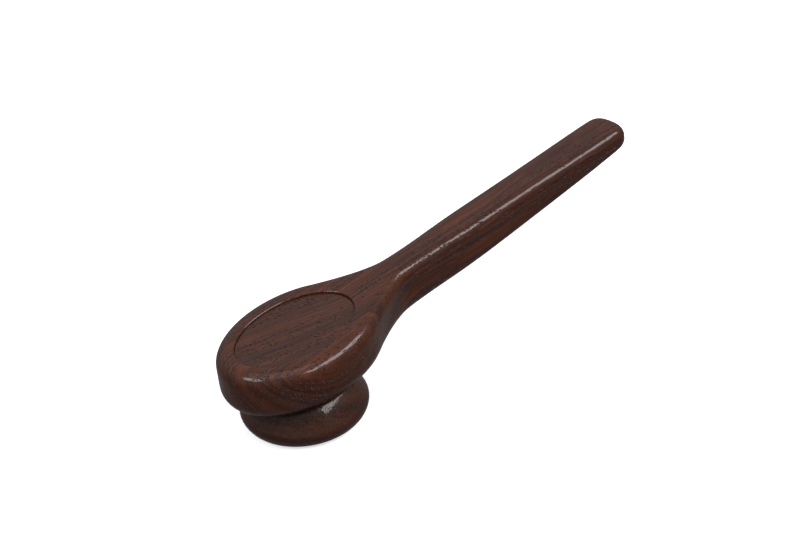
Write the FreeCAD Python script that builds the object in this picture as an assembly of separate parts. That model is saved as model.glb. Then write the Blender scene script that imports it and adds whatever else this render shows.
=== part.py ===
"""Twist-to-crack nutcracker: a wooden paddle whose head screws down on a turned wooden foot.

Frame, in millimetres: the origin is the centre of the foot's underside, +Z is the screw axis and
points up, and +X runs from the screw axis to the free end of the handle. Everything is drawn
closed: the paddle is screwed fully down.
"""

import FreeCAD, Part
import math
import os

from FreeCAD import Vector

# ---- driving dimensions: outside shape
TOP_Z = 50.0  # flat top of the paddle
HEAD_BOTTOM_Z = 23.0  # flat underside of the head
HEAD_CENTRE_X = 2.9  # middle of the oval head
HEAD_HALF_LENGTH = 45.7
HEAD_HALF_WIDTH = 32.8
HEAD_END_ANGLE = 0.86  # where the oval hands over to the neck, radians from +X
NECK_END_X = 70.0  # where the neck becomes the straight handle
NECK_FULLNESS = 0.74  # length of the neck curve's end tangents, as a share of its chord
HANDLE_HALF_WIDTH_NECK = 9.6
HANDLE_HALF_WIDTH_TIP = 11.8
HANDLE_TIP_X = 229.8
TIP_LENGTH = 10.9  # length of the rounded end
TIP_SQUARENESS = 2.6  # exponent of the rounded end: 2 is an ellipse
TIP_THICKNESS = 11.6
UNDERSIDE_START_X = -9.2  # the underside starts to rise here
HEAD_TOP_ROUND = 7.2
HANDLE_TOP_ROUND = 5.5
HEAD_ROUND = 9.4  # reach of the wide rounding below the head
HEAD_ROUND_HEIGHT = 9.5
HANDLE_ROUND = 6.0  # the same below the handle
HANDLE_ROUND_HEIGHT = 4.6
EASE_START_X = 10.0  # the roundings change from the head's to the handle's between these
EASE_END_X = 100.0

# ---- driving dimensions: top panel
PANEL_CENTRE_X = 1.4
PANEL_HALF_LENGTH = 34.4
PANEL_HALF_WIDTH = 22.3
PANEL_STEP = 1.1  # the panel lies this far below the paddle's top
PANEL_THICKNESS = 2.9
PANEL_GAP = 0.25
RIM_BEVEL = 0.25

# ---- driving dimensions: foot
FOOT_TOP_Z = 22.7
FOOT_RADIUS = 32.1
FOOT_WIDEST_Z = 7.1
FOOT_BOTTOM_RADIUS = 28.3
WAIST_RADIUS = 21.9
WAIST_Z = 19.4
PAD_RADIUS = 25.2
PAD_THICKNESS = 2.0
PAD_PROUD = 0.8  # the rubber pad stands this far below the wood

# ---- driving dimensions: screw
LEAD = 8.0  # rise in one turn
STARTS = 2
CUP_RADIUS = 16.6  # inside of the threaded sleeve
ROOT_RADIUS = 18.1
CREST_RADIUS = 19.4
RIDGE_BASE = 2.2  # width of a thread ridge at its root
RIDGE_TIP = 1.2
THREAD_GAP = 0.2  # radial play of the thread
FLANK_GAP = 0.2  # play on each flank, measured along the axis
SPIGOT_RADIUS = 18.2  # smooth lower part of the sleeve, glued in the foot
CUP_FLOOR_Z = 7.0
THREAD_BOTTOM_Z = 24.0
SLEEVE_TOP_Z = 39.5
BUSH_RADIUS = 21.6
BUSH_TOP_Z = 40.5
LEAD_IN = 0.6  # bevel at the mouths of the thread
EMBED = 0.4  # the ridges reach this far into the walls that carry them

# ---- driving dimensions: press
ROOF_THICKNESS = 2.5
PRESS_RADIUS = 16.2
PRESS_TOP_Z = 39.4
PRESS_FACE_Z = 35.0
TOOTH_PITCH = 3.6
TOOTH_HEIGHT = 1.4
ANVIL_RADIUS = 16.4
ANVIL_FACE_Z = 8.4
WASHER_RADIUS = 7.0
WASHER_TOP_Z = 40.45
SHOULDER_RADIUS = 2.5
PIVOT_PLAY = 0.05
PIVOT_HEAD_RADIUS = 4.6
PIVOT_HEAD_Z = (34.6, 36.9)
PIVOT_LEDGE_Z = 37.0  # the press pad hangs on the screw's head here
PIVOT_THREAD_RADIUS = 2.0
PIVOT_END_Z = 44.5
SOCKET_ACROSS = 2.5  # hexagon socket of the pivot screw
SOCKET_DEPTH = 1.2
SCREW_COUNT = 3
SCREW_CIRCLE = 11.0
SCREW_HEAD_RADIUS = 1.9
SCREW_SHANK_RADIUS = 1.0
SCREW_END_Z = 3.6
SCREW_HEAD_DEPTH = 1.0

# ---- worked out from the above
PANEL_FLOOR_Z = TOP_Z - PANEL_STEP - PANEL_THICKNESS
ROOF_TOP_Z = BUSH_TOP_Z + ROOF_THICKNESS
PITCH = LEAD / STARTS
AXIS = Vector(0, 0, 1)


def cylinder(radius, z0, z1, x=0.0, y=0.0):
    return Part.makeCylinder(radius, z1 - z0, Vector(x, y, z0), AXIS)


def tube(outer, inner, z0, z1):
    return cylinder(outer, z0, z1).cut(cylinder(inner, z0 - 1, z1 + 1))


def cone(r0, r1, z0, z1, x=0.0, y=0.0):
    return Part.makeCone(r0, r1, z1 - z0, Vector(x, y, z0), AXIS)


def oval_prism(centre_x, half_length, half_width, z0, z1):
    edge = Part.Ellipse(Vector(centre_x, 0, z0), half_length, half_width).toShape()
    return Part.Face(Part.Wire(edge)).extrude(Vector(0, 0, z1 - z0))


def spline(points, start=None, end=None):
    curve = Part.BSplineCurve()
    if start is None:
        curve.interpolate(points)
    else:
        curve.interpolate(Points=points, InitialTangent=start, FinalTangent=end)
    return curve.toShape()


# ---- paddle


def side_direction():
    rise = HANDLE_HALF_WIDTH_TIP - HANDLE_HALF_WIDTH_NECK
    run = HANDLE_TIP_X - TIP_LENGTH - NECK_END_X
    return Vector(run, rise, 0).normalize()


def neck_curve():
    """The concave neck, tangent to the oval head and to the straight side of the handle."""
    oval = Part.Ellipse(Vector(HEAD_CENTRE_X, 0, 0), HEAD_HALF_LENGTH, HEAD_HALF_WIDTH)
    shoulder = oval.value(HEAD_END_ANGLE)
    leaving = oval.tangent(HEAD_END_ANGLE)[0] * -1
    neck_end = Vector(NECK_END_X, HANDLE_HALF_WIDTH_NECK, 0)
    pull = shoulder.distanceToPoint(neck_end) * NECK_FULLNESS / 3
    bezier = Part.BezierCurve()
    bezier.setPoles(
        [shoulder, shoulder + leaving * pull, neck_end - side_direction() * pull, neck_end]
    )
    return bezier


def tip_curve():
    """A quarter of the rounded end, from the straight side to the middle of the tip."""
    share = 2.0 / TIP_SQUARENESS
    points = []
    for i in range(9):
        t = i * math.pi / 16
        x = HANDLE_TIP_X - TIP_LENGTH + TIP_LENGTH * math.sin(t) ** share
        y = HANDLE_HALF_WIDTH_TIP * max(math.cos(t), 0.0) ** share
        points.append(Vector(x, 0.0 if i == 8 else y, 0))
    curve = Part.BSplineCurve()
    curve.interpolate(
        Points=points, InitialTangent=side_direction(), FinalTangent=Vector(0, -1, 0)
    )
    return curve


def walk(curve, first, last, steps):
    """Points along a curve, each with the direction that leads into the wood."""
    found = []
    for i in range(steps):
        u = first + (last - first) * i / steps
        along = curve.tangent(u)[0].normalize()
        if last < first:
            along = along * -1
        found.append((curve.value(u), Vector(along.y, -along.x, 0)))
    return found


def half_outline():
    """One side of the paddle's outline, from the nose to the tip."""
    oval = Part.Ellipse(Vector(HEAD_CENTRE_X, 0, 0), HEAD_HALF_LENGTH, HEAD_HALF_WIDTH)
    neck = neck_curve()
    tip = tip_curve()
    start = Vector(NECK_END_X, HANDLE_HALF_WIDTH_NECK, 0)
    end = Vector(HANDLE_TIP_X - TIP_LENGTH, HANDLE_HALF_WIDTH_TIP, 0)
    along = side_direction()
    inward = Vector(along.y, -along.x, 0)
    found = walk(oval, math.pi, HEAD_END_ANGLE, 14)
    found += walk(neck, 0, 1, 8)
    found += [(start + (end - start) * (i / 4), inward) for i in range(4)]
    found += walk(tip, tip.FirstParameter, tip.LastParameter, 8)
    found.append((Vector(HANDLE_TIP_X, 0, 0), Vector(-1, 0, 0)))
    return found


def underside_z(x):
    """The underside is flat below the head and rises along a parabola to the tip."""
    run = max(x - UNDERSIDE_START_X, 0.0) / (HANDLE_TIP_X - UNDERSIDE_START_X)
    return HEAD_BOTTOM_Z + (TOP_Z - TIP_THICKNESS - HEAD_BOTTOM_Z) * run**2


def eased(x, head, handle):
    """A size that changes smoothly from the head to the handle."""
    t = min(max((x - EASE_START_X) / (EASE_END_X - EASE_START_X), 0.0), 1.0)
    return head + (handle - head) * t * t * (3 - 2 * t)


def lower_level(point, inward, angle):
    """A point of the wide rounding below: angle 0 is on the side wall, 90 on the underside."""
    reach = eased(point.x, HEAD_ROUND, HANDLE_ROUND)
    height = eased(point.x, HEAD_ROUND_HEIGHT, HANDLE_ROUND_HEIGHT)
    moved = point + inward * (reach * (1 - math.cos(angle)))
    return Vector(moved.x, moved.y, underside_z(moved.x) + height * (1 - math.sin(angle)))


def upper_level(point, inward, angle):
    """A point of the rounding above: angle 0 is on the side wall, 90 on the flat top."""
    radius = eased(point.x, HEAD_TOP_ROUND, HANDLE_TOP_ROUND)
    moved = point + inward * (radius * (1 - math.cos(angle)))
    return Vector(moved.x, moved.y, TOP_Z - radius * (1 - math.sin(angle)))


def carried_on(points):
    """The points with three mirrored ones before the nose and three after the tip."""
    before = [Vector(p.x, -p.y, p.z) for p in points[3:0:-1]]
    after = [Vector(p.x, -p.y, p.z) for p in points[-2:-5:-1]]
    return before + points + after


def level_curve(level, angle, side):
    """One level of a rounding, from the nose to the tip, square to the middle plane at both."""
    half = half_outline()
    outer = carried_on([point for point, inward in half])
    steps = [0.0]
    for a, b in zip(outer, outer[1:]):
        steps.append(steps[-1] + a.distanceToPoint(b))
    points = [level(point, inward, angle) for point, inward in half]
    points = [Vector(p.x, p.y * side, p.z) for p in points]
    points[0].y = 0
    points[-1].y = 0
    curve = Part.BSplineCurve()
    curve.interpolate(Points=carried_on(points), Parameters=steps)
    return curve.toShape(steps[3], steps[-4])


def rounding(level, side, steps):
    angles = [math.pi / 2 * i / steps for i in range(steps + 1)]
    wires = [Part.Wire(level_curve(level, angle, side)) for angle in angles]
    return Part.makeLoft(wires, False, False).Faces


def paddle_blank():
    """The paddle before it is bored: two lofted roundings joined by the upright side wall."""
    faces = []
    for side in (1, -1):
        high = level_curve(upper_level, 0, side)
        low = level_curve(lower_level, 0, side)
        faces += Part.makeRuledSurface(high, low).Faces
        faces += rounding(upper_level, side, 4)
        faces += rounding(lower_level, side, 6)
    quarter = math.pi / 2
    top = [level_curve(upper_level, quarter, side) for side in (1, -1)]
    faces.append(Part.Face(Part.Wire(top)))
    bottom = [level_curve(lower_level, quarter, side) for side in (1, -1)]
    faces += Part.makeRuledSurface(bottom[0], bottom[1]).Faces
    shell = Part.makeShell(faces)
    shell.sewShape(1e-4)
    body = Part.Solid(Part.Shell(shell.Faces))
    if body.Volume < 0:
        body.reverse()
    return body


def is_level(edge, z):
    return abs(edge.BoundBox.ZMin - z) < 1e-6 and abs(edge.BoundBox.ZMax - z) < 1e-6


def paddle():
    recess = oval_prism(
        PANEL_CENTRE_X, PANEL_HALF_LENGTH, PANEL_HALF_WIDTH, PANEL_FLOOR_Z, TOP_Z + 5
    )
    body = paddle_blank().cut(recess)
    rim = [e for e in body.Edges if is_level(e, TOP_Z) and e.BoundBox.XMax < 40]
    body = body.makeChamfer(RIM_BEVEL, [e for e in rim if e.BoundBox.YMax < 25])
    bore = cylinder(BUSH_RADIUS, HEAD_BOTTOM_Z - 5, ROOF_TOP_Z)
    pilot = cylinder(PIVOT_THREAD_RADIUS, ROOF_TOP_Z - 1, PIVOT_END_Z)
    return body.cut(bore).cut(pilot)


def top_panel():
    panel = oval_prism(
        PANEL_CENTRE_X,
        PANEL_HALF_LENGTH - PANEL_GAP,
        PANEL_HALF_WIDTH - PANEL_GAP,
        PANEL_FLOOR_Z,
        PANEL_FLOOR_Z + PANEL_THICKNESS,
    )
    return panel


# ---- foot


def foot():
    base = PAD_PROUD
    outer = [
        Vector(FOOT_BOTTOM_RADIUS, 0, base),
        Vector(FOOT_RADIUS - 1.0, 0, (base + FOOT_WIDEST_Z) / 2 - 0.7),
        Vector(FOOT_RADIUS, 0, FOOT_WIDEST_Z),
        Vector(FOOT_RADIUS - 2.3, 0, FOOT_WIDEST_Z + 4.6),
        Vector((FOOT_RADIUS + WAIST_RADIUS) / 2, 0, WAIST_Z - 3.2),
        Vector(WAIST_RADIUS, 0, WAIST_Z + 0.6),
        Vector(WAIST_RADIUS, 0, FOOT_TOP_Z),
    ]
    side = spline(outer, Vector(1, 0, 0.35), Vector(0, 0, 1))
    inner_top = Vector(0, 0, FOOT_TOP_Z)
    inner_bottom = Vector(0, 0, base)
    edges = [
        side,
        Part.LineSegment(outer[-1], inner_top).toShape(),
        Part.LineSegment(inner_top, inner_bottom).toShape(),
        Part.LineSegment(inner_bottom, outer[0]).toShape(),
    ]
    body = Part.Face(Part.Wire(edges)).revolve(Vector(0, 0, 0), AXIS, 360)
    body = body.cut(cylinder(SPIGOT_RADIUS, CUP_FLOOR_Z, FOOT_TOP_Z + 5))
    body = body.cut(cylinder(PAD_RADIUS, -1, PAD_THICKNESS))
    for x, y in screw_places():
        body = body.cut(cylinder(SCREW_SHANK_RADIUS, SCREW_END_Z, CUP_FLOOR_Z + 1, x, y))
    return body


def foot_pad():
    pad = cylinder(PAD_RADIUS, 0, PAD_THICKNESS)
    lower = [e for e in pad.Edges if is_level(e, 0.0)]
    return pad.makeFillet(0.4, lower)


# ---- screw thread


def half_width(radius):
    """Half the width of the sleeve's ridge at a radius; its flanks go on beyond its crest."""
    share = (radius - ROOT_RADIUS) / (CREST_RADIUS - ROOT_RADIUS)
    return (RIDGE_BASE + (RIDGE_TIP - RIDGE_BASE) * share) / 2


def ridge(inner, outer, half_inner, half_outer, z0, z1, phase):
    """One helical ridge of trapezoid section, swept past both ends and then cut off square."""
    sweep_z = z0 - PITCH
    helix = Part.makeHelix(LEAD, z1 - z0 + 2 * PITCH, inner)
    corners = [
        Vector(inner, 0, -half_inner),
        Vector(outer, 0, -half_outer),
        Vector(outer, 0, half_outer),
        Vector(inner, 0, half_inner),
    ]
    section = Part.makePolygon(corners + corners[:1])
    solid = Part.Wire(helix).makePipeShell([section], True, True)
    solid.translate(Vector(0, 0, sweep_z))
    solid.rotate(Vector(0, 0, 0), AXIS, 360.0 * sweep_z / LEAD + phase)
    return solid.common(cylinder(outer + 5, z0, z1))


def threaded_sleeve():
    inner = ROOT_RADIUS - EMBED
    body = cylinder(SPIGOT_RADIUS, CUP_FLOOR_Z, FOOT_TOP_Z)
    body = body.fuse(cylinder(ROOT_RADIUS, FOOT_TOP_Z, SLEEVE_TOP_Z))
    for start in range(STARTS):
        phase = 360.0 * start / STARTS
        sides = (half_width(inner), half_width(CREST_RADIUS))
        body = body.fuse(ridge(inner, CREST_RADIUS, *sides, THREAD_BOTTOM_Z, SLEEVE_TOP_Z, phase))
    body = body.cut(cylinder(CUP_RADIUS, CUP_FLOOR_Z - 1, SLEEVE_TOP_Z + 1))
    low = SLEEVE_TOP_Z - 2 * LEAD_IN
    keep = cylinder(CREST_RADIUS + LEAD_IN, CUP_FLOOR_Z - 1, low)
    mouth = cone(CREST_RADIUS + LEAD_IN, CREST_RADIUS - LEAD_IN, low, SLEEVE_TOP_Z)
    return body.common(keep.fuse(mouth)).removeSplitter()


def thread_bush():
    """The bush's ridges run half a pitch from the sleeve's, with play all round."""
    inner = ROOT_RADIUS + THREAD_GAP
    wall = CREST_RADIUS + THREAD_GAP
    outer = wall + EMBED
    body = tube(BUSH_RADIUS, wall, THREAD_BOTTOM_Z, BUSH_TOP_Z)
    for start in range(STARTS):
        phase = 360.0 * (start + 0.5) / STARTS
        sides = [PITCH / 2 - FLANK_GAP - half_width(r) for r in (inner, outer)]
        body = body.fuse(ridge(inner, outer, *sides, THREAD_BOTTOM_Z, BUSH_TOP_Z, phase))
    low = THREAD_BOTTOM_Z - 1
    mouth = cone(wall + 1 + LEAD_IN, inner - 1, low, low + wall - inner + 2 + LEAD_IN)
    return body.cut(mouth).removeSplitter()


# ---- press and anvil


def tooth_cutter(face_z, radius, direction):
    """Crossing V grooves that leave a field of pyramids standing on a face, towards direction."""
    top = face_z + direction * TOOTH_HEIGHT
    count = int(2 * radius / TOOTH_PITCH) + 2
    reach = radius + 5
    cutters = []
    for i in range(count + 1):
        at = (i - count / 2) * TOOTH_PITCH
        half = TOOTH_PITCH / 2 - 0.15
        past = direction * 1.0
        widen = half * (TOOTH_HEIGHT + 1.0) / TOOTH_HEIGHT
        points = [
            Vector(at - widen, -reach, top + past),
            Vector(at, -reach, face_z),
            Vector(at + widen, -reach, top + past),
        ]
        groove = Part.Face(Part.makePolygon(points + points[:1])).extrude(Vector(0, 2 * reach, 0))
        crossing = groove.copy()
        crossing.rotate(Vector(0, 0, 0), AXIS, 90)
        cutters += [groove, crossing]
    return cutters


def screw_places():
    places = []
    for i in range(SCREW_COUNT):
        a = math.radians(90 + 360.0 * i / SCREW_COUNT)
        places.append((SCREW_CIRCLE * math.cos(a), SCREW_CIRCLE * math.sin(a)))
    return places


def anvil_plate():
    body = cylinder(ANVIL_RADIUS, CUP_FLOOR_Z, ANVIL_FACE_Z + TOOTH_HEIGHT)
    body = body.cut(tooth_cutter(ANVIL_FACE_Z, ANVIL_RADIUS, 1))
    for x, y in screw_places():
        body = body.cut(cylinder(SCREW_HEAD_RADIUS + 0.4, ANVIL_FACE_Z, ANVIL_FACE_Z + 5, x, y))
        body = body.cut(cylinder(SCREW_SHANK_RADIUS, CUP_FLOOR_Z - 1, ANVIL_FACE_Z + 1, x, y))
        low = ANVIL_FACE_Z - SCREW_HEAD_DEPTH
        body = body.cut(cone(SCREW_SHANK_RADIUS, SCREW_HEAD_RADIUS, low, ANVIL_FACE_Z, x, y))
    return body


def anvil_screws():
    """Three countersunk wood screws with cross slots."""
    screws = []
    for x, y in screw_places():
        low = ANVIL_FACE_Z - SCREW_HEAD_DEPTH
        screw = cylinder(SCREW_SHANK_RADIUS, SCREW_END_Z, low, x, y)
        screw = screw.fuse(cone(SCREW_SHANK_RADIUS, SCREW_HEAD_RADIUS, low, ANVIL_FACE_Z, x, y))
        for turn in (0, 90):
            slot = Part.makeBox(2.2, 0.5, 1.0, Vector(-1.1, -0.25, 0))
            slot.rotate(Vector(0, 0, 0), AXIS, turn)
            slot.translate(Vector(x, y, ANVIL_FACE_Z - 0.5))
            screw = screw.cut(slot)
        screws.append(screw.removeSplitter())
    return Part.makeCompound(screws)


def press_pad():
    body = cylinder(PRESS_RADIUS, PRESS_FACE_Z - TOOTH_HEIGHT, PRESS_TOP_Z)
    body = body.cut(tooth_cutter(PRESS_FACE_Z, PRESS_RADIUS, -1))
    body = body.cut(cylinder(SHOULDER_RADIUS + PIVOT_PLAY, PRESS_FACE_Z - 5, PRESS_TOP_Z + 1))
    return body.cut(cylinder(PIVOT_HEAD_RADIUS + 0.3, PRESS_FACE_Z - 5, PIVOT_LEDGE_Z))


def thrust_washer():
    return tube(WASHER_RADIUS, SHOULDER_RADIUS + PIVOT_PLAY, PRESS_TOP_Z, WASHER_TOP_Z)


def roof_plate():
    return tube(BUSH_RADIUS, PIVOT_THREAD_RADIUS, BUSH_TOP_Z, ROOF_TOP_Z)


def pivot_screw():
    low, high = PIVOT_HEAD_Z
    head = cylinder(PIVOT_HEAD_RADIUS, low, high)
    head = head.makeChamfer(0.3, [e for e in head.Edges if is_level(e, low)])
    shoulder = cylinder(SHOULDER_RADIUS, high, BUSH_TOP_Z)
    thread = cylinder(PIVOT_THREAD_RADIUS, BUSH_TOP_Z, PIVOT_END_Z)
    corners = []
    for i in range(7):
        a = math.radians(60 * i)
        reach = SOCKET_ACROSS / 2 / math.cos(math.radians(30))
        corners.append(Vector(reach * math.cos(a), reach * math.sin(a), low - 0.5))
    socket = Part.Face(Part.makePolygon(corners)).extrude(Vector(0, 0, SOCKET_DEPTH + 0.5))
    return head.fuse([shoulder, thread]).cut(socket).removeSplitter()


PIECES = {
    "paddle": paddle,
    "top_panel": top_panel,
    "thread_bush": thread_bush,
    "roof_plate": roof_plate,
    "pivot_screw": pivot_screw,
    "press_pad": press_pad,
    "thrust_washer": thrust_washer,
    "foot": foot,
    "foot_pad": foot_pad,
    "threaded_sleeve": threaded_sleeve,
    "anvil_plate": anvil_plate,
    "anvil_screws": anvil_screws,
}


def main():
    os.makedirs("parts", exist_ok=True)
    for name, make in PIECES.items():
        shape = make()
        box = shape.BoundBox
        print(
            f"{name}: valid {shape.isValid()}, solids {len(shape.Solids)},",
            f"volume {shape.Volume / 1000:.2f} cm3,",
            f"x {box.XMin:.2f}..{box.XMax:.2f}, y {box.YMin:.2f}..{box.YMax:.2f},",
            f"z {box.ZMin:.2f}..{box.ZMax:.2f}",
        )
        shape.exportStep(f"parts/{name}.step")


main()
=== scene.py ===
"""Looks of the twist nutcracker: dark varnished open-pored wood, brass and steel inside.

Metres, in the CAD frame: the screw axis is +Z through the origin, the handle points along +X.
"""

import bpy
import math
from mathutils import Matrix, Vector

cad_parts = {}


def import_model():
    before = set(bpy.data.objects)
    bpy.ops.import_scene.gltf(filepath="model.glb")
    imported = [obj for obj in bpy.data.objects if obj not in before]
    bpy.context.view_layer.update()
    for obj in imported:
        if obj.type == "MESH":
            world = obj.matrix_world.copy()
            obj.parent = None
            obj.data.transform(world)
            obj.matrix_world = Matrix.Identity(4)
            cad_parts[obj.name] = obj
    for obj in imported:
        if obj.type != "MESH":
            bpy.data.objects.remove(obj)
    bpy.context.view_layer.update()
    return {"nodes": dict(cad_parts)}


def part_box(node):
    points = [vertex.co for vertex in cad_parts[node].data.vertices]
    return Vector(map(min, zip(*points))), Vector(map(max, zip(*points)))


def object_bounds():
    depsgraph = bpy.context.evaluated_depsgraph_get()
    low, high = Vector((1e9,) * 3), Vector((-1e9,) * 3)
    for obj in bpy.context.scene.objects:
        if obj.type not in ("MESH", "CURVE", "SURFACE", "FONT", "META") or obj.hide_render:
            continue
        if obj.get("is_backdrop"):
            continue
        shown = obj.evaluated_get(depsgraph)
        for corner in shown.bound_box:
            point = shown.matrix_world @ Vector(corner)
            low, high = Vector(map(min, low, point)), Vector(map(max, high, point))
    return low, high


# ---- camera, as the picture was taken
CAMERA_AZIMUTH = -37.15  # degrees
CAMERA_ELEVATION = 35.85
CAMERA_ROLL = -9.56
CAMERA_DISTANCE = 1.542  # from the middle of the head's top
CAMERA_LENS = 143.7  # millimetres
SENSOR_WIDTH = 36.0
AIM_RIGHT = 1.93  # degrees by which the optical axis passes right of the head's top
AIM_UP = 1.14

# ---- light
SKY_COLOUR = (0.95, 0.97, 1.0, 1.0)
SKY_STRENGTH = 0.48
GROUND_STRENGTH = 0.16  # the wood is lit by this from below, not by the floor
GROUND_UP_TO = -0.25  # sine of the elevation at which the dome starts to brighten
SKY_FROM = 0.9
AIM_POINT = Vector((0.05, 0, 0.03))  # all the lights look at this point in the paddle
KEY_POWER = 8.5  # watts
TOP_POWER = 3.4
FILL_POWER = 3.6
FLOOR_GLOW = 0.62  # the floor glows like a light table, so that it stays white
FLOOR_HALF_WIDTH = 6.0
FLOOR_DROP = 0.0002  # the floor lies this far below the rubber pad
FLOOR_COLOUR = (0.9, 0.9, 0.9, 1.0)
WHITE = (1.0, 1.0, 1.0, 1.0)

# ---- wood, in millimetres
MM = 1000.0  # millimetres in a metre
PORE_LENGTH = 2.8
PORE_WIDTH = 0.45
FEWEST_PORES = 0.04  # share of the cells that are open, in one ring and in another
MOST_PORES = 0.85
GRAIN_TURN_PANEL = -17.0  # degrees, against the paddle's grain
GRAIN_TURN_FOOT = 62.0
# the centre of the growth rings: how far across the board, and how far above it or (minus) below
PITH_PADDLE = (110.0, -60.0)
PITH_PANEL = (120.0, 10.0)
PITH_FOOT = (20.0, -60.0)
# where along, across and up the log the piece is cut, so that no two look alike
CUT_PADDLE = (0.0, 0.0, 0.0)
CUT_PANEL = (300.0, 9.0, 2.0)
CUT_FOOT = (700.0, 5.0, 1.0)
# pattern density along, across and through the board: the smaller, the longer the marks
SLOW_BEND = (0.005, 0.016, 0.016)
FINE_BEND = (0.03, 0.15, 0.15)
FIBRES = (0.035, 2.0, 2.0)
LIGHT_LINES = (0.02, 1.3, 1.3)
VARNISH_SWELL = (0.06, 0.5, 0.5)
# pattern density outwards from the pith, and along the grain
WIDE_RINGS = 0.14
PORE_RINGS = 0.30
NARROW_RINGS = 0.9
RINGS_ALONG = 0.004
NARROW_RINGS_ALONG = 0.012
SLOW_WANDER = 3.0  # width of the band within which the grain bends
FINE_WANDER = 0.9

# ---- surfaces, depth of their relief in metres
PORE_DEPTH = 0.0005  # in the wood
PORE_DEPTH_VARNISH = 0.0004  # in the varnish that sinks into the pores
FIBRE_HEIGHT = 0.00004
SWELL_HEIGHT = 0.00014
TOOL_MARK_HEIGHT = 0.00003
RUBBER_GRAIN_HEIGHT = 0.00008
WOOD_SPECULAR = 0.12
VARNISH_ROUGHNESS = 0.12
VARNISH_IOR = 1.42
TARNISH = 0.62  # brightness of the tarnish against the clean metal

# ---- metal colours
STEEL = (0.56, 0.56, 0.57, 1.0)
SCREW_STEEL = (0.5, 0.5, 0.52, 1.0)
BRASS = (0.80, 0.56, 0.24, 1.0)
WASHER_BRASS = (0.83, 0.60, 0.28, 1.0)
ZINC = (0.62, 0.6, 0.55, 1.0)


def srgb(r, g, b):
    """Linear colour from 0 to 255 screen values."""

    def lin(v):
        v /= 255.0
        return v / 12.92 if v <= 0.04045 else ((v + 0.055) / 1.055) ** 2.4

    return (lin(r), lin(g), lin(b), 1.0)


class Nodes:
    """A small helper that adds and links shader nodes in one call each."""

    def __init__(self, name):
        self.material = bpy.data.materials.new(name)
        self.material.use_nodes = True
        self.tree = self.material.node_tree
        self.tree.nodes.clear()
        self.out = self.tree.nodes.new("ShaderNodeOutputMaterial")
        self.shader = self.tree.nodes.new("ShaderNodeBsdfPrincipled")
        self.tree.links.new(self.shader.outputs[0], self.out.inputs["Surface"])

    def put(self, socket, value):
        """Links a socket, or sets a constant on it."""
        if isinstance(value, bpy.types.NodeSocket):
            self.tree.links.new(value, socket)
        else:
            socket.default_value = value

    def add(self, kind, inputs=None, output=0, **settings):
        """Adds a node with its settings and inputs, and gives one of its outputs."""
        node = self.tree.nodes.new("ShaderNode" + kind)
        for key, value in settings.items():
            setattr(node, key, value)
        for key, value in (inputs or {}).items():
            self.put(node.inputs[key], value)
        return node.outputs[output]

    def millimetres(self):
        """The place on the object in the CAD frame, in millimetres."""
        place = self.add("TexCoord", output="Object")
        return self.vector("MULTIPLY", place, (MM, MM, MM))

    def math(self, operation, a, b=0.0):
        return self.add("Math", {0: a, 1: b}, operation=operation)

    def vector(self, operation, a, b):
        return self.add("VectorMath", {0: a, 1: b}, operation=operation)

    def xyz(self, x, y, z):
        return self.add("CombineXYZ", {0: x, 1: y, 2: z})

    def split(self, v):
        node = self.tree.nodes.new("ShaderNodeSeparateXYZ")
        self.put(node.inputs[0], v)
        return node.outputs

    def noise(self, vector, scale=1.0, detail=2.0, rough=0.5):
        inputs = {"Vector": vector, "Scale": scale, "Detail": detail, "Roughness": rough}
        return self.add("TexNoise", inputs)

    def wander(self, place, density, detail, reach):
        """A smooth sideways shift across the grain of up to half of reach."""
        inputs = {"Vector": self.vector("MULTIPLY", place, density), "Detail": detail}
        colour = self.add("TexNoise", inputs, output="Color")
        centred = self.vector("SUBTRACT", colour, (0.5, 0.5, 0.5))
        return self.vector("MULTIPLY", centred, (0.0, reach, reach))

    def range(self, value, low, high, to_low=0.0, to_high=1.0, smooth=False):
        """Takes low..high to to_low..to_high, and stays at the ends beyond them."""
        kind = "SMOOTHSTEP" if smooth else "LINEAR"
        ends = {0: value, 1: low, 2: high, 3: to_low, 4: to_high}
        return self.add("MapRange", ends, interpolation_type=kind, clamp=True)

    def mix(self, factor, a, b):
        """Goes from colour a at factor 0 to colour b at factor 1."""
        node = self.tree.nodes.new("ShaderNodeMix")
        node.data_type = "RGBA"
        node.blend_type = "MIX"
        node.clamp_factor = True
        self.put(node.inputs[0], factor)
        self.put(node.inputs[6], a)
        self.put(node.inputs[7], b)
        return node.outputs[2]

    def bump(self, height, distance, strength=1.0, normal=None):
        inputs = {"Height": height, "Distance": distance, "Strength": strength}
        if normal is not None:
            inputs["Normal"] = normal
        return self.add("Bump", inputs)


def grain_place(nodes, turn, cut):
    """Millimetres along and across the grain, on a board that isn't quite straight-grained."""
    place = nodes.add("TexCoord", output="Object")
    turned = {
        "Vector": place,
        "Rotation": (0, 0, math.radians(-turn)),
        "Scale": (MM, MM, MM),
        "Location": cut,
    }
    mm = nodes.add("Mapping", turned, vector_type="POINT")
    slow = nodes.wander(mm, SLOW_BEND, 1.0, SLOW_WANDER)
    fine = nodes.wander(mm, FINE_BEND, 2.0, FINE_WANDER)
    return nodes.vector("ADD", nodes.vector("ADD", mm, slow), fine)


def ring_distance(nodes, y, z, pith):
    """Distance from the pith line, which runs beside the board."""
    dy = nodes.math("SUBTRACT", y, pith[0])
    dz = nodes.math("SUBTRACT", z, pith[1])
    squares = nodes.math("ADD", nodes.math("MULTIPLY", dy, dy), nodes.math("MULTIPLY", dz, dz))
    return nodes.math("SQRT", squares)


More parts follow.
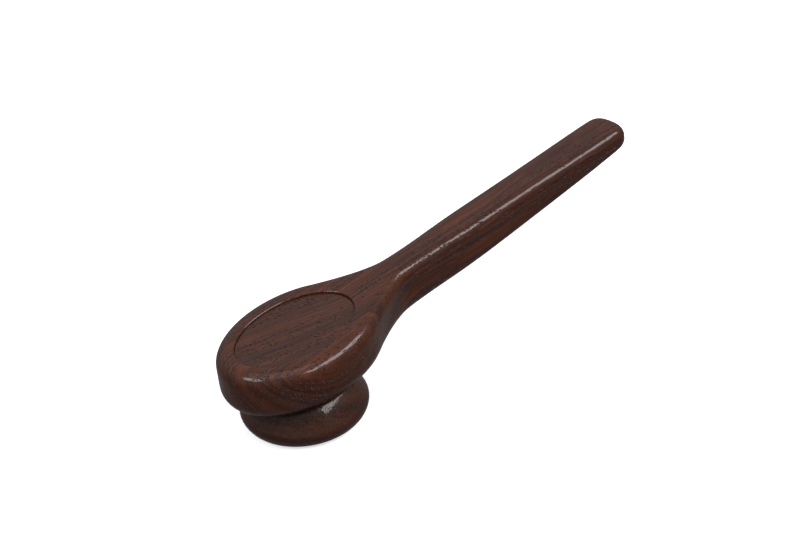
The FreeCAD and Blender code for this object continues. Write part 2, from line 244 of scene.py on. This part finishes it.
def open_pores(nodes, board, ring, along):
    """Long thin cells, 1 in the middle of an open pore, crowded in some of the growth rings."""
    cells = nodes.tree.nodes.new("ShaderNodeTexVoronoi")
    pore_scale = (1 / PORE_LENGTH, 1 / PORE_WIDTH, 1 / PORE_WIDTH)
    nodes.put(cells.inputs["Vector"], nodes.vector("MULTIPLY", board, pore_scale))
    cells.inputs["Scale"].default_value = 1.0
    chosen = nodes.split(cells.outputs["Color"])[0]
    band = nodes.noise(nodes.xyz(nodes.math("MULTIPLY", ring, PORE_RINGS), along, 11.0), detail=1.0)
    share = nodes.range(band, 0.46, 0.58, FEWEST_PORES, MOST_PORES)
    is_open = nodes.math("LESS_THAN", chosen, share)
    core = nodes.range(cells.outputs["Distance"], 0.14, 0.44, 1.0, 0.0, smooth=True)
    return nodes.math("MULTIPLY", core, is_open)


def wood_colour(nodes, tint, board, x, ring, along, fibre, pore):
    """Broad and narrow growth rings, light lines, dark fibres and darker pores."""
    dark, mid, light, deep = tint
    wide = nodes.noise(nodes.xyz(nodes.math("MULTIPLY", ring, WIDE_RINGS), along, 3.0), detail=1.0)
    narrow_along = nodes.math("MULTIPLY", x, NARROW_RINGS_ALONG)
    narrow_out = nodes.math("MULTIPLY", ring, NARROW_RINGS)
    narrow = nodes.noise(nodes.xyz(narrow_out, narrow_along, 7.0), detail=2.0)
    line = nodes.noise(nodes.vector("MULTIPLY", board, LIGHT_LINES), detail=1.0)
    colour = nodes.mix(nodes.range(wide, 0.38, 0.62), dark, mid)
    colour = nodes.mix(nodes.range(narrow, 0.45, 0.66, 0.0, 0.55), colour, light)
    colour = nodes.mix(nodes.range(line, 0.56, 0.68, 0.0, 0.7), colour, light)
    colour = nodes.mix(nodes.range(fibre, 0.4, 0.72, 0.0, 0.6), colour, nodes.mix(0.6, dark, deep))
    return nodes.mix(nodes.math("MULTIPLY", pore, 0.7), colour, deep)


def wood(name, turn, tint, pith, cut):
    """Open-pored dark wood under a varnish. Grain runs along X, turned about Z by turn degrees."""
    nodes = Nodes(name)
    board = grain_place(nodes, turn, cut)
    x, y, z = nodes.split(board)
    ring = ring_distance(nodes, y, z, pith)
    along = nodes.math("MULTIPLY", x, RINGS_ALONG)
    fibre = nodes.noise(nodes.vector("MULTIPLY", board, FIBRES), detail=3.0, rough=0.6)
    pore = open_pores(nodes, board, ring, along)
    colour = wood_colour(nodes, tint, board, x, ring, along, fibre, pore)
    nodes.put(nodes.shader.inputs["Base Color"], colour)

    fibre_rough = nodes.range(fibre, 0.3, 0.7, 0.40, 0.52)
    rough = nodes.math("ADD", fibre_rough, nodes.math("MULTIPLY", pore, 0.2))
    nodes.put(nodes.shader.inputs["Roughness"], rough)
    nodes.put(nodes.shader.inputs["Specular IOR Level"], WOOD_SPECULAR)

    sunk = nodes.math("MULTIPLY", pore, -1.0)
    pits = nodes.bump(sunk, PORE_DEPTH, 0.9)
    nodes.put(nodes.shader.inputs["Normal"], nodes.bump(fibre, FIBRE_HEIGHT, 0.6, pits))

    swell = nodes.noise(nodes.vector("MULTIPLY", board, VARNISH_SWELL), detail=2.0)
    skin = nodes.bump(sunk, PORE_DEPTH_VARNISH, 0.9)
    nodes.put(nodes.shader.inputs["Coat Normal"], nodes.bump(swell, SWELL_HEIGHT, 0.5, skin))
    nodes.put(nodes.shader.inputs["Coat Weight"], 1.0)
    nodes.put(nodes.shader.inputs["Coat Roughness"], VARNISH_ROUGHNESS)
    nodes.put(nodes.shader.inputs["Coat IOR"], VARNISH_IOR)
    return nodes.material


def metal(name, colour, rough, pitch):
    """Turned metal: tool rings about the screw axis, pitch millimetres apart, and light tarnish."""
    nodes = Nodes(name)
    mm = nodes.millimetres()
    x, y, z = nodes.split(mm)
    squares = nodes.math("ADD", nodes.math("MULTIPLY", x, x), nodes.math("MULTIPLY", y, y))
    radius = nodes.math("SQRT", squares)
    turns = nodes.xyz(nodes.math("DIVIDE", radius, pitch), nodes.math("DIVIDE", z, pitch), 1.0)
    rings = nodes.noise(turns, detail=1.0)
    stain = nodes.noise(mm, scale=0.25, detail=4.0, rough=0.6)
    dull = tuple(c * TARNISH for c in colour[:3]) + (1.0,)
    tarnished = nodes.mix(nodes.range(stain, 0.45, 0.75, 0.0, 0.6), colour, dull)
    nodes.put(nodes.shader.inputs["Base Color"], tarnished)
    nodes.put(nodes.shader.inputs["Metallic"], 1.0)
    nodes.put(nodes.shader.inputs["Roughness"], nodes.range(stain, 0.3, 0.8, rough, rough + 0.16))
    nodes.put(nodes.shader.inputs["Normal"], nodes.bump(rings, TOOL_MARK_HEIGHT, 0.5))
    return nodes.material


def rubber(name):
    """Black rubber with a fine grain and some dust on it."""
    nodes = Nodes(name)
    mm = nodes.millimetres()
    grain = nodes.noise(mm, scale=3.0, detail=3.0)
    dust = nodes.noise(mm, scale=0.12, detail=4.0)
    black, dusty = srgb(34, 33, 33), srgb(52, 50, 48)
    nodes.put(nodes.shader.inputs["Base Color"], nodes.mix(nodes.range(dust, 0.4, 0.75), black, dusty))
    nodes.put(nodes.shader.inputs["Roughness"], nodes.range(dust, 0.3, 0.7, 0.62, 0.8))
    nodes.put(nodes.shader.inputs["Normal"], nodes.bump(grain, RUBBER_GRAIN_HEIGHT, 0.6))
    return nodes.material


def dress(frame):
    """Puts each material on its CAD nodes. A tint is dark, mid, light and the pores' deep brown."""
    tint_paddle = (srgb(54, 22, 8), srgb(77, 35, 13), srgb(106, 53, 21), srgb(17, 8, 5))
    tint_panel = (srgb(53, 24, 11), srgb(72, 34, 16), srgb(97, 51, 25), srgb(17, 9, 6))
    tint_foot = (srgb(51, 23, 9), srgb(70, 32, 12), srgb(92, 45, 18), srgb(17, 8, 5))
    steel = metal("steel", STEEL, rough=0.26, pitch=0.18)
    brass = metal("brass", BRASS, rough=0.22, pitch=0.12)
    looks = {
        "paddle": wood("paddle_wood", 0.0, tint_paddle, PITH_PADDLE, CUT_PADDLE),
        "top_panel": wood("panel_wood", GRAIN_TURN_PANEL, tint_panel, PITH_PANEL, CUT_PANEL),
        "foot": wood("foot_wood", GRAIN_TURN_FOOT, tint_foot, PITH_FOOT, CUT_FOOT),
        "foot_pad": rubber("rubber"),
        "thread_bush": brass,
        "threaded_sleeve": brass,
        "thrust_washer": metal("washer_brass", WASHER_BRASS, rough=0.16, pitch=0.3),
        "roof_plate": steel,
        "pivot_screw": metal("screw_steel", SCREW_STEEL, rough=0.2, pitch=0.3),
        "press_pad": steel,
        "anvil_plate": steel,
        "anvil_screws": metal("zinc", ZINC, rough=0.3, pitch=0.3),
    }
    for name, material in looks.items():
        mesh = frame["nodes"][name].data
        mesh.materials.clear()
        mesh.materials.append(material)


def floor():
    """A wide pale floor that the foot stands on."""
    mesh = bpy.data.meshes.new("floor")
    far = FLOOR_HALF_WIDTH
    corners = [(-far, -far, 0), (far, -far, 0), (far, far, 0), (-far, far, 0)]
    mesh.from_pydata(corners, [], [(0, 1, 2, 3)])
    piece = bpy.data.objects.new("floor", mesh)
    bpy.context.scene.collection.objects.link(piece)
    piece.location.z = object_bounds()[0].z - FLOOR_DROP
    nodes = Nodes("floor")
    nodes.put(nodes.shader.inputs["Base Color"], FLOOR_COLOUR)
    nodes.put(nodes.shader.inputs["Roughness"], 0.9)
    nodes.put(nodes.shader.inputs["Emission Color"], WHITE)
    nodes.put(nodes.shader.inputs["Emission Strength"], FLOOR_GLOW)
    mesh.materials.append(nodes.material)
    # as if dark flags kept its glare off the wood
    piece.visible_glossy = False
    piece.visible_diffuse = False
    piece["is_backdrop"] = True


def towards(azimuth, elevation):
    """Unit vector from the object: azimuth 0 is on the -Y side, 90 is on the +X side."""
    a, e = math.radians(azimuth), math.radians(elevation)
    return Vector((math.sin(a) * math.cos(e), -math.cos(a) * math.cos(e), math.sin(e)))


def softbox(name, azimuth, elevation, distance, size):
    """A rectangular area light that looks at the aim point. Gives the light's data."""
    back = towards(azimuth, elevation)
    light = bpy.data.lights.new(name, "AREA")
    light.shape = "RECTANGLE"
    light.size, light.size_y = size
    lamp = bpy.data.objects.new(name, light)
    bpy.context.scene.collection.objects.link(lamp)
    lamp.location = AIM_POINT + back * distance
    lamp.rotation_mode = "QUATERNION"
    lamp.rotation_quaternion = (-back).to_track_quat("-Z", "Y")
    return light


def surroundings():
    """A pale dome that is brighter overhead than at the horizon, and dim below."""
    world = bpy.data.worlds.new("studio")
    world.use_nodes = True
    tree = world.node_tree
    place = tree.nodes.new("ShaderNodeTexCoord")
    height = tree.nodes.new("ShaderNodeSeparateXYZ")
    tree.links.new(place.outputs["Generated"], height.inputs[0])
    level = tree.nodes.new("ShaderNodeMapRange")
    level.interpolation_type = "SMOOTHSTEP"
    steps = (GROUND_UP_TO, SKY_FROM, GROUND_STRENGTH, SKY_STRENGTH)
    for i, value in enumerate(steps):
        level.inputs[i + 1].default_value = value
    tree.links.new(height.outputs["Z"], level.inputs[0])
    background = tree.nodes["Background"]
    background.inputs["Color"].default_value = SKY_COLOUR
    tree.links.new(level.outputs[0], background.inputs["Strength"])
    bpy.context.scene.world = world


def lights():
    """A broad key for the streak along the near edge, a big one above, a small one at the nose."""
    surroundings()
    key = softbox("key", azimuth=34.0, elevation=44.0, distance=1.2, size=(1.3, 0.34))
    key.energy, key.color = KEY_POWER, (1.0, 0.98, 0.96)
    top = softbox("top", azimuth=-60.0, elevation=78.0, distance=1.4, size=(1.2, 1.2))
    top.energy = TOP_POWER
    fill = softbox("fill", azimuth=-88.0, elevation=48.0, distance=1.3, size=(0.6, 0.35))
    fill.energy = FILL_POWER


def camera(target):
    """The camera looks past the target, which lies left of and below the picture's middle."""
    back = towards(CAMERA_AZIMUTH, CAMERA_ELEVATION)
    a = math.radians(CAMERA_AZIMUTH)
    right = Vector((math.cos(a), math.sin(a), 0))
    up = back.cross(right)
    axes = Matrix((right, up, back)).transposed()
    rolled = axes @ Matrix.Rotation(math.radians(CAMERA_ROLL), 3, "Z")
    sideways, upward = math.tan(math.radians(AIM_RIGHT)), math.tan(math.radians(AIM_UP))
    aim = Vector((sideways, upward, 1.0)).normalized()
    turned = rolled @ Vector((0, 0, 1)).rotation_difference(aim).to_matrix().inverted()
    data = bpy.data.cameras.new("camera")
    data.lens = CAMERA_LENS
    data.sensor_width = SENSOR_WIDTH
    data.clip_start, data.clip_end = 0.05, 50.0
    view = bpy.data.objects.new("camera", data)
    bpy.context.scene.collection.objects.link(view)
    view.matrix_world = Matrix.Translation(target + back * CAMERA_DISTANCE) @ turned.to_4x4()
    bpy.context.scene.camera = view


def main():
    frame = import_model()
    dress(frame)
    floor()
    lights()
    camera(Vector((0, 0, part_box("paddle")[1].z)))
    bpy.context.scene.view_settings.view_transform = "Standard"


main()
